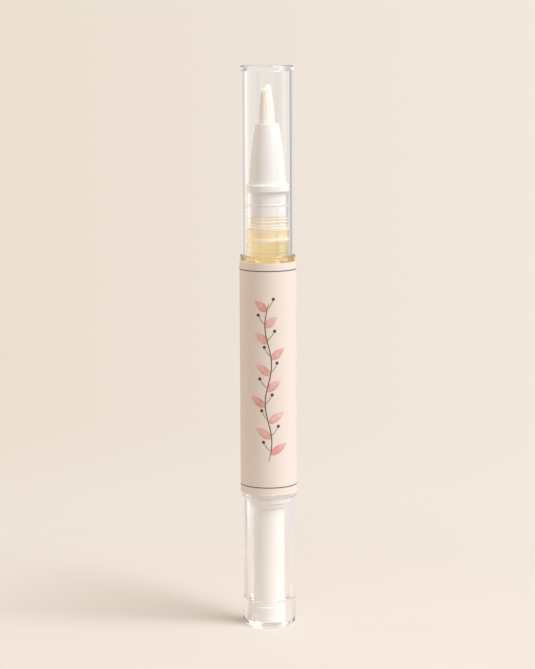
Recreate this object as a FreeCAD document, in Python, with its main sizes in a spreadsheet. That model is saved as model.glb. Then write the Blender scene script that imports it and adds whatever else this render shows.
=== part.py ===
"""Twist-up nail oil pen: a clear barrel of oil, a brush under a clear cap, and a twist knob at the foot.

Turning the knob turns a keyed lead screw through a fixed nut, and the screw pushes a piston up the barrel.
Millimetres, +Z up, origin at the middle of the knob's flat foot, brush end up, front towards -Y.
"""

import FreeCAD, Part
import Sketcher
import math
import operator
import os

# Driving dimensions
SIZES = {
    # Clearances
    "press_gap": 0.02,          # pieces pressed, glued or seated together
    "run_gap": 0.05,            # pieces that turn or slide in one another
    "end_gap": 0.3,             # ends of moving pieces that stay apart
    # Knob: clear cup that the pen stands on
    "knob_height": 29.0,
    "knob_setback": 0.15,       # how far the knob's rim stands inside the barrel's side
    "knob_taper": 0.15,         # how much the side draws in from rim to foot
    "knob_wall": 1.05,
    "knob_floor": 1.3,
    "knob_edge_round": 1.2,
    "socket_depth": 4.15,       # straight part of the narrow socket above the floor
    "socket_lead_in": 1.45,     # height of the cone between the socket and the bore
    "knob_gap": 0.2,            # turning gap between knob and barrel
    # Drive core: white keyed tube in the knob
    "core_foot_step": 0.15,     # collar pressed into the knob's socket
    "core_foot_height": 3.4,
    "core_floor": 0.8,
    "core_flange_gap": 0.75,    # between the thrust flange and the knob's bore
    "core_flange_height": 0.9,
    "core_bead_height": 0.25,   # bead that snaps behind the nut's lip
    "core_bead_width": 0.8,
    "hub_wall": 0.7,            # round the keyed bore, above the bead
    "pawl_count": 3,
    "pawl_thickness": 0.45,
    "pawl_stand_off": 0.45,     # room between a pawl and the hub
    "pawl_sweep": 66.0,         # degrees from a pawl's tip to the end of its root
    "pawl_root": 15.0,          # degrees where a pawl joins the hub
    "pawl_nose": 9.0,           # degrees of the ramp behind a pawl's tip
    "pawl_nose_height": 0.25,
    # Guide nut: snapped into the barrel's rear end
    "nut_spigot": 1.2,          # collar that reaches down into the knob
    "nut_spigot_gap": 0.15,     # between the collar and the knob's bore
    "nut_lip": 1.7,
    "nut_lip_reach": 0.95,      # how far the lip stands in from the chamber's wall
    "nut_wall": 0.63,
    "nut_chamber": 4.8,         # height of the ratchet chamber
    "nut_roof": 0.7,
    "nut_boss_wall": 0.7,
    "nut_boss_height": 7.0,
    "hub_gap": 0.15,            # between the core's hub and the nut's boss
    "thread_length": 2.9,
    "tooth_count": 12,
    "tooth_height": 0.45,
    "tooth_length": 3.1,
    "snap_height": 0.18,        # ring that snaps into the barrel's groove
    "snap_width": 0.8,
    "snap_from_rear": 2.7,      # middle of the ring above the barrel's rear end
    # Screw rod
    "rod_flat_depth": 0.5,
    "rod_neck_step": 0.65,
    "rod_head_step": 0.1,
    "rod_head_height": 1.6,
    "rod_head_bevel": 0.5,
    # Piston
    "piston_lip": 1.0,          # height of each sealing lip
    "piston_lip_lead": 0.6,     # height of the taper from lip to waist
    "piston_waist_gap": 0.3,    # between the waist and the barrel's bore
    "piston_skirt_gap": 0.3,    # between the skirt and the nut's boss
    "piston_web": 0.6,          # wall that the screw's head snaps through
    "piston_face": 1.7,         # front wall above the screw's head
    "piston_crown": 0.5,        # rise of the front's middle
    # Barrel
    "barrel_od": 12.1,
    "barrel_wall": 1.0,
    "barrel_length": 53.0,      # rear end to shoulder
    "shoulder_width": 1.35,     # ledge that the cap seats on
    "shoulder_bevel": 0.3,
    "shoulder_depth": 1.3,      # from the shoulder down to the foot of the inner cone
    "cone_rise": 1.15,          # height of the inner cone
    "neck_wall": 0.7,
    "neck_length": 13.8,
    "bead_height": 0.14,        # bead that grips the cap
    "bead_width": 0.7,
    "bead_rise": 10.8,          # middle of the bead above the shoulder
    # Label
    "label_thickness": 0.1,
    "label_rise": 0.95,         # bare barrel below the label
    "label_drop": 1.35,         # bare barrel above the label
    "label_seam": 1.9,          # open seam at the back
    # Oil
    "oil_reserve": 1.8,         # depth under the inner cone that the piston never reaches
    # Nozzle: white brush holder
    "nozzle_flange_overhang": 0.04,
    "nozzle_flange_height": 1.5,
    "nozzle_flange_bevel": 0.25,
    "nozzle_tip_wall": 0.81,
    "nozzle_length": 12.95,     # flange to tip
    "nozzle_bulge": 90.0,       # radius of the bullet curve
    "nozzle_tip_bevel": 0.2,
    "nozzle_shank": 5.4,        # length inside the neck
    "nozzle_shank_wall": 1.0,
    "tuft_seat": 7.7,           # depth of the tuft's socket below the tip
    # Seal plug
    "plug_spigot": 3.6,         # length inside the nozzle's shank
    "plug_collar": 2.95,
    "plug_collar_gap": 0.25,    # between the collar and the neck's bore
    "plug_rib_count": 3,
    "plug_rib_pitch": 0.75,
    "plug_rib_width": 0.36,
    "plug_band": 0.7,           # height of the lowest, broad sealing band
    "plug_nose_gap": 1.1,       # oil space between the nose and the neck's bore
    "plug_nose": 3.2,
    "plug_nose_round": 1.2,
    # Feed tube
    "tube_od": 1.0,
    "tube_wall": 0.2,
    "tube_inset": 0.6,          # recess of the tube's end in the plug's nose
    "tube_reach": 4.2,          # above the nozzle's tip, inside the tuft
    # Bristles
    "tuft_od": 3.44,
    "tuft_root_step": 0.35,     # how far the fused root stands out
    "tuft_root_height": 1.0,
    "tuft_length": 8.85,        # above the nozzle's tip
    "tuft_taper": 0.57,         # how much the tuft's radius draws in towards its tip
    "tuft_peak_shift": 0.43,    # highest point, towards +X
    "tuft_slant": 37.0,         # degrees of the tip's slanted trim
    "tuft_bevel": 8.3,          # height of the steep trim on the +X side
    # Cap
    "cap_wall": 0.9,
    "cap_top_wall": 1.15,
    "cap_headroom": 2.48,       # between the tuft's tip and the cap's ceiling
    "cap_grip_gap": 0.06,       # between the neck's bead and the cap's bore
    "cap_edge_bevel": 0.3,
}

# The sheet
OPERATIONS = {"+": operator.add, "-": operator.sub, "*": operator.mul, "/": operator.truediv}

doc = FreeCAD.newDocument("nail_oil_pen")
sheet = doc.addObject("Spreadsheet::Sheet", "Sizes")
for row, (alias, number) in enumerate(SIZES.items(), start=1):
    sheet.set(f"A{row}", alias.replace("_", " "))
    sheet.set(f"B{row}", str(number))
    sheet.setAlias(f"B{row}", alias)
doc.recompute()


class Dim:
    """A size: its expression on the sheet, and its present value to draw sketches at their solution."""

    def __init__(self, text, value):
        self.text = text
        self.value = value

    def combined(self, sign, other):
        other = other if isinstance(other, Dim) else Dim(str(other), other)
        return Dim(f"({self.text} {sign} {other.text})", OPERATIONS[sign](self.value, other.value))

    def __add__(self, other):
        return self.combined("+", other)

    def __sub__(self, other):
        return self.combined("-", other)

    def __mul__(self, other):
        return self.combined("*", other)

    def __truediv__(self, other):
        return self.combined("/", other)


def size(alias):
    """The driving dimension of that name."""
    return Dim(f"Sizes.{alias}", float(sheet.get(alias)))


def sine(degrees):
    return Dim(f"sin({degrees.text} * 1 deg)", math.sin(math.radians(degrees.value)))


def cosine(degrees):
    return Dim(f"cos({degrees.text} * 1 deg)", math.cos(math.radians(degrees.value)))


def polar(radius, degrees):
    """A point at a radius and an angle, as (across, up) sizes."""
    return radius * cosine(degrees), radius * sine(degrees)


ZERO = Dim("0", 0.0)
FULL_TURN = Dim("360", 360.0)

# Radii and heights that several pieces share
press_gap = size("press_gap")
run_gap = size("run_gap")
end_gap = size("end_gap")

barrel_base = size("knob_height") + size("knob_gap")
shoulder_z = barrel_base + size("barrel_length")
neck_top_z = shoulder_z + size("neck_length")
barrel_radius = size("barrel_od") / 2
bore_radius = barrel_radius - size("barrel_wall")
neck_radius = barrel_radius - size("shoulder_width")
neck_bore_radius = neck_radius - size("neck_wall")
cone_base = shoulder_z - size("shoulder_depth")
cone_top_z = cone_base + size("cone_rise")
reserve_z = cone_base - size("oil_reserve")
bead_radius = neck_radius + size("bead_height")
knob_radius = barrel_radius - size("knob_setback")
knob_bore_radius = knob_radius - size("knob_wall")

# The ratchet from the outside in: nut, chamber, teeth, pawls, hub, keyed bore, screw
nut_radius = bore_radius - press_gap
chamber_radius = nut_radius - size("nut_wall")
crest_radius = chamber_radius - size("tooth_height")
pawl_tip_radius = crest_radius - run_gap
pawl_outer_radius = pawl_tip_radius - size("pawl_nose_height")
pawl_inner_radius = pawl_outer_radius - size("pawl_thickness")
hub_radius = pawl_inner_radius - size("pawl_stand_off")
key_radius = hub_radius - size("hub_wall")
rod_radius = key_radius - run_gap
rod_half_flats = rod_radius - size("rod_flat_depth")
rod_neck_radius = rod_radius - size("rod_neck_step")
rod_head_radius = rod_radius - size("rod_head_step")
entry_radius = chamber_radius - size("nut_lip_reach")
core_radius = entry_radius - run_gap
core_foot_radius = core_radius + size("core_foot_step")
boss_bore_radius = hub_radius + size("hub_gap")
boss_radius = boss_bore_radius + size("nut_boss_wall")
snap_radius = nut_radius + size("snap_height")
lip_radius = bore_radius - run_gap

# The ratchet and the piston from the foot up
core_base = size("knob_floor") + press_gap
key_base = core_base + size("core_floor")
nut_base = barrel_base - size("nut_spigot")
lip_top_z = nut_base + size("nut_lip")
chamber_top_z = lip_top_z + size("nut_chamber")
tooth_base = chamber_top_z - size("tooth_length")
nut_shoulder_z = chamber_top_z + size("nut_roof")
boss_top_z = nut_shoulder_z + size("nut_boss_height")
thread_base = boss_top_z - size("thread_length")
snap_z = barrel_base + size("snap_from_rear")
half_snap = size("snap_width") / 2
web_base = boss_top_z + end_gap
web_top_z = web_base + size("piston_web")
head_base = web_top_z + run_gap
head_top_z = head_base + size("rod_head_height")
head_room_z = head_top_z + run_gap
face_edge_z = head_room_z + size("piston_face")
crown_z = face_edge_z + size("piston_crown")

# The brush end
nozzle_base = neck_top_z + press_gap
flange_top_z = nozzle_base + size("nozzle_flange_height")
nozzle_tip_z = flange_top_z + size("nozzle_length")
shank_radius = neck_bore_radius - run_gap
shank_bore_radius = shank_radius - size("nozzle_shank_wall")
shank_base = nozzle_base - size("nozzle_shank")
collar_top_z = shank_base - press_gap
collar_base = collar_top_z - size("plug_collar")
nose_base = collar_base - size("plug_nose")
nose_radius = neck_bore_radius - size("plug_nose_gap")
seal_radius = neck_bore_radius - press_gap
spigot_top_z = collar_top_z + size("plug_spigot")
tube_radius = size("tube_od") / 2
tube_hole_radius = tube_radius + press_gap
tube_base = nose_base + size("tube_inset")
tube_top_z = nozzle_tip_z + size("tube_reach")
tuft_radius = size("tuft_od") / 2
tuft_root_radius = tuft_radius + size("tuft_root_step")
tuft_seat_z = nozzle_tip_z - size("tuft_seat")
tuft_top_z = nozzle_tip_z + size("tuft_length")


# Sketches and features
def new_body(label):
    """An empty body whose label names the piece."""
    body = doc.addObject("PartDesign::Body", f"{label}_body")
    body.Label = label
    return body


def new_sketch(body, name, role, lift=None):
    """A sketch on one of the body's origin planes, lifted along the plane's normal where a lift is given."""
    sketch = body.newObject("Sketcher::SketchObject", name)
    plane = next(feature for feature in body.Origin.OriginFeatures if feature.Role == role)
    sketch.AttachmentSupport = (plane, [""])
    sketch.MapMode = "FlatFace"
    if lift is not None:
        sketch.AttachmentOffset = FreeCAD.Placement(FreeCAD.Vector(0, 0, lift.value), FreeCAD.Rotation())
        sketch.setExpression("AttachmentOffset.Base.z", lift.text)
    return sketch


def bind_constraint(sketch, kind, geometry, amount):
    """A dimensional constraint whose value comes from the sheet."""
    index = sketch.addConstraint(Sketcher.Constraint(kind, *geometry, amount.value))
    sketch.setExpression(f"Constraints[{index}]", amount.text)


def bind_property(feature, name, amount):
    """A feature's length, angle or count, from the sheet."""
    setattr(feature, name, amount.value)
    feature.setExpression(name, amount.text)


def arc_between(start, finish, radius):
    """The anticlockwise arc of that radius from start to finish that is shorter than half a turn."""
    half = (finish - start) * 0.5
    inward = FreeCAD.Vector(-half.y, half.x, 0).normalize()
    centre = start + half + inward * math.sqrt(max(radius * radius - half.Length ** 2, 0.0))
    first = math.atan2(start.y - centre.y, start.x - centre.x)
    last = math.atan2(finish.y - centre.y, finish.x - centre.x)
    circle = Part.Circle(centre, FreeCAD.Vector(0, 0, 1), radius)
    return Part.ArcOfCircle(circle, first, last if last > first else last + 2 * math.pi)


def draw_outline(sketch, corners):
    """A closed outline, anticlockwise, through corners of (across, up), (across, up, radius) or
    (across, up, radius, "hollow").

    A radius makes the stretch from that corner to the next an arc that swells outwards, or inwards if hollow.
    """
    places = [FreeCAD.Vector(corner[0].value, corner[1].value, 0) for corner in corners]
    ends = []
    for index, corner in enumerate(corners):
        start = places[index]
        finish = places[(index + 1) % len(corners)]
        hollow = len(corner) == 4
        if hollow:
            sketch.addGeometry(arc_between(finish, start, corner[2].value), False)
        elif len(corner) == 3:
            sketch.addGeometry(arc_between(start, finish, corner[2].value), False)
        else:
            sketch.addGeometry(Part.LineSegment(start, finish), False)
        ends.append((2, 1) if hollow else (1, 2))
    for index, corner in enumerate(corners):
        following = (index + 1) % len(corners)
        first, last = ends[index]
        sketch.addConstraint(Sketcher.Constraint("Coincident", index, last, following, ends[following][0]))
        for kind, axis, amount in (("DistanceX", -2, corner[0]), ("DistanceY", -1, corner[1])):
            if amount is ZERO:
                sketch.addConstraint(Sketcher.Constraint("PointOnObject", index, first, axis))
            else:
                bind_constraint(sketch, kind, (-1, 1, index, first), amount)
        if len(corner) > 2:
            bind_constraint(sketch, "Radius", (index,), corner[2])


def turn(body, name, corners):
    """Material turned round the pen's axis from a profile of (radius, height) corners."""
    sketch = new_sketch(body, f"{name}_profile", "XZ_Plane")
    draw_outline(sketch, corners)
    feature = body.newObject("PartDesign::Revolution", name)
    feature.Profile = sketch
    feature.ReferenceAxis = (sketch, ["V_Axis"])
    feature.Angle = 360.0
    doc.recompute()
    return feature


def raise_outline(body, name, base, height, draw, *drawn):
    """Material raised by a height from an outline drawn at a base height."""
    sketch = new_sketch(body, f"{name}_outline", "XY_Plane", base)
    draw(sketch, *drawn)
    feature = body.newObject("PartDesign::Pad", name)
    feature.Profile = sketch
    bind_property(feature, "Length", height)
    doc.recompute()
    return feature


def repeat_round(body, feature, name, count):
    """Copies of a feature evenly spaced round the pen's axis."""
    pattern = body.newObject("PartDesign::PolarPattern", name)
    pattern.Originals = [feature]
    pattern.Axis = (feature.Profile[0], ["N_Axis"])
    pattern.Angle = 360.0
    pattern.setExpression("Occurrences", count.text)
    body.Tip = pattern
    doc.recompute()


def draw_flatted_round(sketch, radius, half_flats):
    """A circle with two flats cut square across X."""
    reach = math.sqrt(radius.value ** 2 - half_flats.value ** 2)
    tilt = math.atan2(reach, half_flats.value)
    circle = Part.Circle(FreeCAD.Vector(0, 0, 0), FreeCAD.Vector(0, 0, 1), radius.value)
    right_low = FreeCAD.Vector(half_flats.value, -reach, 0)
    right_high = FreeCAD.Vector(half_flats.value, reach, 0)
    left_high = FreeCAD.Vector(-half_flats.value, reach, 0)
    left_low = FreeCAD.Vector(-half_flats.value, -reach, 0)
    sketch.addGeometry(Part.LineSegment(right_low, right_high), False)
    sketch.addGeometry(Part.ArcOfCircle(circle, tilt, math.pi - tilt), False)
    sketch.addGeometry(Part.LineSegment(left_high, left_low), False)
    sketch.addGeometry(Part.ArcOfCircle(circle, math.pi + tilt, 2 * math.pi - tilt), False)
    for index in range(4):
        sketch.addConstraint(Sketcher.Constraint("Coincident", index, 2, (index + 1) % 4, 1))
    sketch.addConstraint(Sketcher.Constraint("Coincident", 1, 3, -1, 1))
    sketch.addConstraint(Sketcher.Constraint("Coincident", 3, 3, -1, 1))
    sketch.addConstraint(Sketcher.Constraint("Vertical", 0))
    sketch.addConstraint(Sketcher.Constraint("Vertical", 2))
    bind_constraint(sketch, "Radius", (1,), radius)
    bind_constraint(sketch, "DistanceX", (-1, 1, 0, 1), half_flats)
    bind_constraint(sketch, "DistanceX", (2, 1, -1, 1), half_flats)


def bead_profile(radius, middle_z, width, height):
    """Profile of a low bead on a cylinder: a flat-topped rise with sloped sides, rooted in the cylinder."""
    root = radius - height
    half = width / 2
    quarter = width / 4
    return [
        (root, middle_z - half),
        (radius, middle_z - half),
        (radius + height, middle_z - quarter),
        (radius + height, middle_z + quarter),
        (radius, middle_z + half),
        (root, middle_z + half),
    ]


# Knob
def make_knob():
    """Clear moulded cup with a rounded foot and a slight outer draft: a wide bore over a narrow socket."""
    body = new_body("knob")
    height = size("knob_height")
    floor = size("knob_floor")
    foot_radius = knob_radius - size("knob_taper")
    edge = size("knob_edge_round")
    socket_radius = core_foot_radius + press_gap
    socket_top_z = floor + size("socket_depth")
    turn(body, "cup", [
        (ZERO, ZERO),
        (foot_radius - edge, ZERO, edge),
        (foot_radius, edge),
        (knob_radius, height),
        (knob_bore_radius, height),
        (knob_bore_radius, socket_top_z + size("socket_lead_in")),
        (socket_radius, socket_top_z),
        (socket_radius, floor),
        (ZERO, floor),
    ])
    return body


# Drive core
def make_drive_core():
    """White keyed tube: its foot is pressed into the knob, its flange bears on the nut, its bead snaps behind
    the nut's lip, and its hub carries spring pawls that ride in the nut's ratchet teeth."""
    body = new_body("drive_core")
    foot_top_z = core_base + size("core_foot_height")
    foot_step = core_foot_radius - core_radius
    flange_top_z = nut_base - run_gap
    flange_base = flange_top_z - size("core_flange_height")
    flange_radius = knob_bore_radius - size("core_flange_gap")
    bead_height = size("core_bead_height")
    bead_base = lip_top_z + run_gap
    bead_top_z = bead_base + size("core_bead_width")
    top = thread_base - end_gap
    turn(body, "core", [
        (ZERO, core_base),
        (core_foot_radius, core_base),
        (core_foot_radius, foot_top_z - foot_step),
        (core_radius, foot_top_z),
        (core_radius, flange_base),
        (flange_radius, flange_base),
        (flange_radius, flange_top_z),
        (core_radius, flange_top_z),
        (core_radius, bead_base),
        (core_radius + bead_height, bead_base + bead_height),
        (core_radius + bead_height, bead_top_z - bead_height),
        (core_radius, bead_top_z),
        (hub_radius, bead_top_z),
        (hub_radius, top),
        (ZERO, top),
    ])
    outline = new_sketch(body, "key_outline", "XY_Plane", top)
    draw_flatted_round(outline, key_radius, rod_half_flats + run_gap)
    key_bore = body.newObject("PartDesign::Pocket", "key_bore")
    key_bore.Profile = outline
    bind_property(key_bore, "Length", top - key_base)
    doc.recompute()

    rooted = hub_radius - size("hub_wall") / 2
    sweep = size("pawl_sweep")
    root_start = sweep - size("pawl_root")
    pawl_height = size("tooth_length") - run_gap - end_gap
    pawl = raise_outline(body, "pawl", tooth_base + run_gap, pawl_height, draw_outline, [
        (pawl_inner_radius, ZERO),
        (pawl_tip_radius, ZERO),
        (*polar(pawl_outer_radius, size("pawl_nose")), pawl_outer_radius),
        polar(pawl_outer_radius, sweep),
        polar(rooted, sweep),
        polar(rooted, root_start),
        (*polar(pawl_inner_radius, root_start), pawl_inner_radius, "hollow"),
    ])
    repeat_round(body, pawl, "pawls", size("pawl_count"))
    return body


# Guide nut
def make_guide_nut():
    """Fixed nut: a collar that centres the knob, a lip that keeps the core, a chamber with ratchet teeth, a
    snap ring in the barrel's groove, and a boss whose upper end holds the screw's thread."""
    body = new_body("guide_nut")
    collar_radius = knob_bore_radius - size("nut_spigot_gap")
    thread_radius = rod_radius + run_gap
    turn(body, "nut", [
        (entry_radius, nut_base),
        (collar_radius, nut_base),
        (collar_radius, barrel_base),
        (nut_radius, barrel_base),
        (nut_radius, snap_z - half_snap),
        (snap_radius, snap_z - half_snap / 2),
        (snap_radius, snap_z + half_snap / 2),
        (nut_radius, snap_z + half_snap),
        (nut_radius, nut_shoulder_z),
        (boss_radius, nut_shoulder_z),
        (boss_radius, boss_top_z),
        (thread_radius, boss_top_z),
        (thread_radius, thread_base),
        (boss_bore_radius, thread_base),
        (boss_bore_radius, chamber_top_z),
        (chamber_radius, chamber_top_z),
        (chamber_radius, lip_top_z),
        (entry_radius, lip_top_z),
    ])
    rooted = chamber_radius + size("nut_wall") / 2
    ramp = FULL_TURN * 0.9 / size("tooth_count")
    tooth_rise = size("tooth_length") + size("nut_roof") / 2
    tooth = raise_outline(body, "tooth", tooth_base, tooth_rise, draw_outline, [
        (rooted, ZERO),
        polar(rooted, ramp),
        polar(crest_radius, ramp),
    ])
    repeat_round(body, tooth, "teeth", size("tooth_count"))
    return body


# Screw rod
def make_screw_rod():
    """Lead screw: a round rod with two flats that slide in the keyed core, and a head that snaps into the
    piston."""
    body = new_body("screw_rod")
    base = key_base + end_gap
    shaft_top_z = web_base - run_gap
    bevel = size("rod_head_bevel")
    raise_outline(body, "shaft", base, shaft_top_z - base, draw_flatted_round, rod_radius, rod_half_flats)
    turn(body, "head", [
        (ZERO, shaft_top_z),
        (rod_neck_radius, shaft_top_z),
        (rod_neck_radius, head_base),
        (rod_head_radius, head_base),
        (rod_head_radius, head_top_z - bevel),
        (rod_head_radius - bevel, head_top_z),
        (ZERO, head_top_z),
    ])
    return body


# Piston
def make_piston():
    """Soft plunger: two sealing lips with a relieved waist, a skirt that nests over the nut's boss at rest,
    and a socket that the screw's head snaps into and turns in."""
    body = new_body("piston")
    base = nut_shoulder_z + end_gap
    lip = size("piston_lip")
    lead = size("piston_lip_lead")
    waist_radius = bore_radius - size("piston_waist_gap")
    skirt_radius = boss_radius + size("piston_skirt_gap")
    hole_radius = rod_neck_radius + run_gap
    socket_radius = rod_head_radius + run_gap
    turn(body, "plunger", [
        (skirt_radius, base),
        (lip_radius, base),
        (lip_radius, base + lip),
        (waist_radius, base + lip + lead),
        (waist_radius, face_edge_z - lip - lead),
        (lip_radius, face_edge_z - lip),
        (lip_radius, face_edge_z),
        (ZERO, crown_z),
        (ZERO, head_room_z),
        (socket_radius, head_room_z),
        (socket_radius, web_top_z),
        (hole_radius, web_top_z),
        (hole_radius, web_base),
        (skirt_radius, web_base),
    ])
    return body


# Barrel
def make_barrel():
    """Clear moulded tube: open rear end with a snap groove for the nut, a flat shoulder that the cap seats
    on, and a narrower neck with one low bead that grips the cap."""
    body = new_body("barrel")
    bevel = size("shoulder_bevel")
    groove_radius = snap_radius + press_gap
    turn(body, "tube", [
        (bore_radius, barrel_base),
        (barrel_radius, barrel_base),
        (barrel_radius, shoulder_z - bevel),
        (barrel_radius - bevel, shoulder_z),
        (neck_radius, shoulder_z),
        (neck_radius, neck_top_z),
        (neck_bore_radius, neck_top_z),
        (neck_bore_radius, cone_top_z),
        (bore_radius, cone_base),
        (bore_radius, snap_z + half_snap + press_gap),
        (groove_radius, snap_z + half_snap / 2 + press_gap),
        (groove_radius, snap_z - half_snap / 2 - press_gap),
        (bore_radius, snap_z - half_snap - press_gap),
    ])
    bead_z = shoulder_z + size("bead_rise")
    turn(body, "bead", bead_profile(neck_radius, bead_z, size("bead_width"), size("bead_height")))
    return body


# Label
def make_label():
    """Paper sleeve glued round the barrel, with its narrow open seam at the back."""
    body = new_body("label")
    inner = barrel_radius + press_gap
    outer = inner + size("label_thickness")
    base = barrel_base + size("label_rise")
    top = shoulder_z - size("label_drop")
    wrap = turn(body, "wrap", [(inner, base), (outer, base), (outer, top), (inner, top)])
    seam_angle = size("label_seam") / inner * Dim("180 / pi", 180 / math.pi)
    bind_property(wrap, "Angle", FULL_TURN - seam_angle)
    wrap.Midplane = True
    face_front = FreeCAD.Rotation(FreeCAD.Vector(0, 0, 1), -90)
    body.Placement = FreeCAD.Placement(FreeCAD.Vector(0, 0, 0), face_front)
    doc.recompute()
    return body


# Oil column
def make_oil_column():
    """The part of the fill that the piston pushes out, from the piston's crown up to the end of its travel."""
    body = new_body("oil_column")
    column_radius = bore_radius - press_gap
    turn(body, "column", [
        (ZERO, crown_z + press_gap),
        (column_radius, face_edge_z + press_gap),
        (column_radius, reserve_z - press_gap),
        (ZERO, reserve_z - press_gap),
    ])
    return body


# Oil at the neck
def make_oil_neck():
    """The part of the fill that stays: under the inner cone, in it, and round the plug's nose."""
    body = new_body("oil_neck")
    column_radius = bore_radius - press_gap
    collar_radius = neck_bore_radius - press_gap
    nose_gap_radius = nose_radius + press_gap
    nose_edge = size("plug_nose_round")
    turn(body, "reserve", [
        (ZERO, reserve_z),
        (column_radius, reserve_z),
        (column_radius, cone_base),
        (collar_radius, cone_top_z),
        (collar_radius, collar_base - press_gap),
        (nose_gap_radius, collar_base - press_gap),
        (nose_gap_radius, nose_base + nose_edge - press_gap, nose_edge, "hollow"),
        (nose_gap_radius - nose_edge, nose_base - press_gap),
        (ZERO, nose_base - press_gap),
    ])
    return body


# Nozzle
def make_nozzle():
    """White moulded brush holder: bullet body, flange on the neck's end, hollow shank in the neck, and a
    stepped channel that the tuft is drawn up into from below."""
    body = new_body("nozzle")
    flange_radius = neck_radius + size("nozzle_flange_overhang")
    flange_bevel = size("nozzle_flange_bevel")
    socket_radius = tuft_radius + press_gap
    cavity_radius = tuft_root_radius + press_gap
    tip_radius = socket_radius + size("nozzle_tip_wall")
    tip_bevel = size("nozzle_tip_bevel")
    turn(body, "holder", [
        (shank_bore_radius, shank_base),
        (shank_radius, shank_base),
        (shank_radius, nozzle_base),
        (flange_radius, nozzle_base),
        (flange_radius, flange_top_z - flange_bevel),
        (flange_radius - flange_bevel, flange_top_z),
        (shank_radius, flange_top_z, size("nozzle_bulge")),
        (tip_radius, nozzle_tip_z - tip_bevel),
        (tip_radius - tip_bevel, nozzle_tip_z),
        (socket_radius, nozzle_tip_z),
        (socket_radius, tuft_seat_z),
        (cavity_radius, tuft_seat_z),
        (cavity_radius, spigot_top_z + press_gap),
        (shank_bore_radius, spigot_top_z + press_gap),
    ])
    return body


# Seal plug
def make_seal_plug():
    """Natural moulded plug: a spigot in the nozzle's shank, a collar with fine sealing ribs over a broad
    band, a rounded nose in the oil, and a through hole for the feed tube."""
    body = new_body("seal_plug")
    spigot_radius = shank_bore_radius - press_gap
    collar_radius = neck_bore_radius - size("plug_collar_gap")
    rib_height = seal_radius - collar_radius
    rib_half = size("plug_rib_width") / 2
    band_top_z = collar_base + size("plug_band")
    nose_edge = size("plug_nose_round")
    turn(body, "plug", [
        (tube_hole_radius, nose_base),
        (nose_radius - nose_edge, nose_base, nose_edge),
        (nose_radius, nose_base + nose_edge),
        (nose_radius, collar_base),
        (seal_radius, collar_base),
        (seal_radius, band_top_z),
        (collar_radius, band_top_z),
        (collar_radius, collar_top_z),
        (spigot_radius, collar_top_z),
        (spigot_radius, spigot_top_z),
        (tube_hole_radius, spigot_top_z),
    ])
    top_rib_z = collar_top_z - rib_half * 2
    rib = turn(body, "rib", bead_profile(collar_radius, top_rib_z, size("plug_rib_width"), rib_height))
    ribs = body.newObject("PartDesign::LinearPattern", "ribs")
    ribs.Originals = [rib]
    ribs.Direction = (rib.Profile[0], ["V_Axis"])
    ribs.Reversed = True
    ribs.Mode = "Spacing"
    bind_property(ribs, "Offset", size("plug_rib_pitch"))
    ribs.setExpression("Occurrences", size("plug_rib_count").text)
    body.Tip = ribs
    doc.recompute()
    return body


# Feed tube
def make_feed_tube():
    """Fine capillary from the plug's nose, through the nozzle, into the middle of the tuft."""
    body = new_body("feed_tube")
    tube_bore_radius = tube_radius - size("tube_wall")
    turn(body, "capillary", [
        (tube_bore_radius, tube_base),
        (tube_radius, tube_base),
        (tube_radius, tube_top_z),
        (tube_bore_radius, tube_top_z),
    ])
    return body


# Bristles
def make_bristles():
    """Tuft of filaments round the feed tube's hole: a fused root under the nozzle's ledge, a gentle taper, a
    slanted trim at the tip and a steep trim down its +X side."""
    body = new_body("bristles")
    root_top_z = tuft_seat_z - press_gap
    root_base = root_top_z - size("tuft_root_height")
    tip_radius = tuft_radius - size("tuft_taper")
    turn(body, "tuft", [
        (tube_hole_radius, root_base),
        (tuft_root_radius, root_base),
        (tuft_root_radius, root_top_z),
        (tuft_radius, root_top_z),
        (tuft_radius, nozzle_tip_z),
        (tip_radius, tuft_top_z),
        (ZERO, tuft_top_z),
        (ZERO, tube_top_z + press_gap),
        (tube_hole_radius, tube_top_z + press_gap),
    ])
    peak = size("tuft_peak_shift")
    across = size("tuft_od")
    slant = size("tuft_slant")
    drop = (peak + across) * sine(slant) / cosine(slant)
    above = tuft_top_z + across
    bevel_z = tuft_top_z - size("tuft_bevel")
    trim = new_sketch(body, "trim_outline", "XZ_Plane")
    draw_outline(trim, [
        (ZERO - across, tuft_top_z - drop),
        (peak, tuft_top_z),
        (tuft_radius, bevel_z),
        (across, bevel_z),
        (across, above),
        (ZERO - across, above),
    ])
    cut = body.newObject("PartDesign::Pocket", "trim")
    cut.Profile = trim
    cut.Type = "ThroughAll"
    cut.SideType = "Symmetric"
    doc.recompute()
    return body


# Cap
def make_cap():
    """Clear push-on cap: rim on the barrel's shoulder, straight bore that grips the neck's bead, closed flat
    top with a softened edge."""
    body = new_body("cap")
    rim_z = shoulder_z + run_gap
    ceiling = tuft_top_z + size("cap_headroom")
    top = ceiling + size("cap_top_wall")
    bore = bead_radius + size("cap_grip_gap")
    outer = bore + size("cap_wall")
    bevel = size("cap_edge_bevel")
    turn(body, "cover", [
        (bore, rim_z),
        (outer, rim_z),
        (outer, top - bevel),
        (outer - bevel, top),
        (ZERO, top),
        (ZERO, ceiling),
        (bore, ceiling),
    ])
    return body


pieces = [
    make_knob(),
    make_drive_core(),
    make_guide_nut(),
    make_screw_rod(),
    make_piston(),
    make_barrel(),
    make_label(),
    make_oil_column(),
    make_oil_neck(),
    make_nozzle(),
    make_seal_plug(),
    make_feed_tube(),
    make_bristles(),
    make_cap(),
]
doc.recompute()

# Checks and files
for item in doc.Objects:
    if "Invalid" in item.State or "Error" in item.State:
        raise RuntimeError(f"{item.Label} could not be computed: {item.State}")
for piece in pieces:
    if piece.Shape.isNull() or not piece.Shape.isValid() or len(piece.Shape.Solids) != 1:
        raise RuntimeError(f"{piece.Label} is not one valid solid")

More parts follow.
